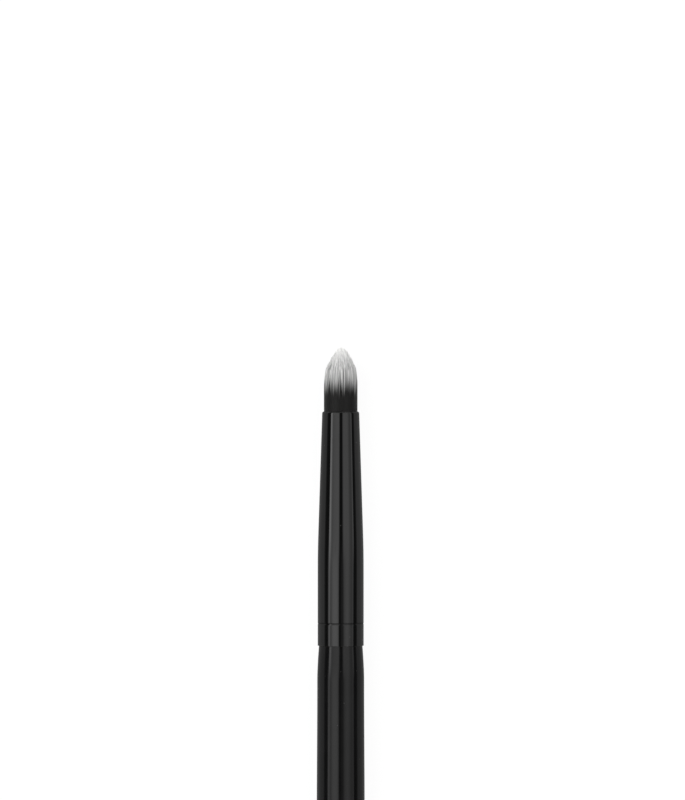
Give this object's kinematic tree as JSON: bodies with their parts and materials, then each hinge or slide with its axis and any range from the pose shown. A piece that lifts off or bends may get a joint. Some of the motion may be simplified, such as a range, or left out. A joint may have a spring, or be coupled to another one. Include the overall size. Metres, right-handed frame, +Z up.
{
  "type": "eye makeup brush",
  "caption": "Slim round eye makeup brush: bullet-pointed hair tuft, tapered metal tube and long turned handle with a small flat end.",
  "frame": {"origin": "the middle of the brush's footprint on the table that it lies on, under its axis", "axes": "+Y along the brush's axis from the end of the handle to the tip of the tuft, +Z up, +X to the right"},
  "size_m": [0.0068, 0.1719, 0.0068],
  "materials": {
    "handle_lacquer": "gloss",
    "ferrule_black": "gloss",
    "hair": "satin",
    "thread": "matte",
    "resin": "gloss",
    "glue": "satin"
  },
  "bodies": {
    "root": {"handle": "handle_lacquer", "ferrule": "ferrule_black", "bristle_tuft": "hair", "root_tie_thread": "thread", "root_resin_plug": "resin", "tenon_glue_film": "glue"}
  },
  "joints": []
}
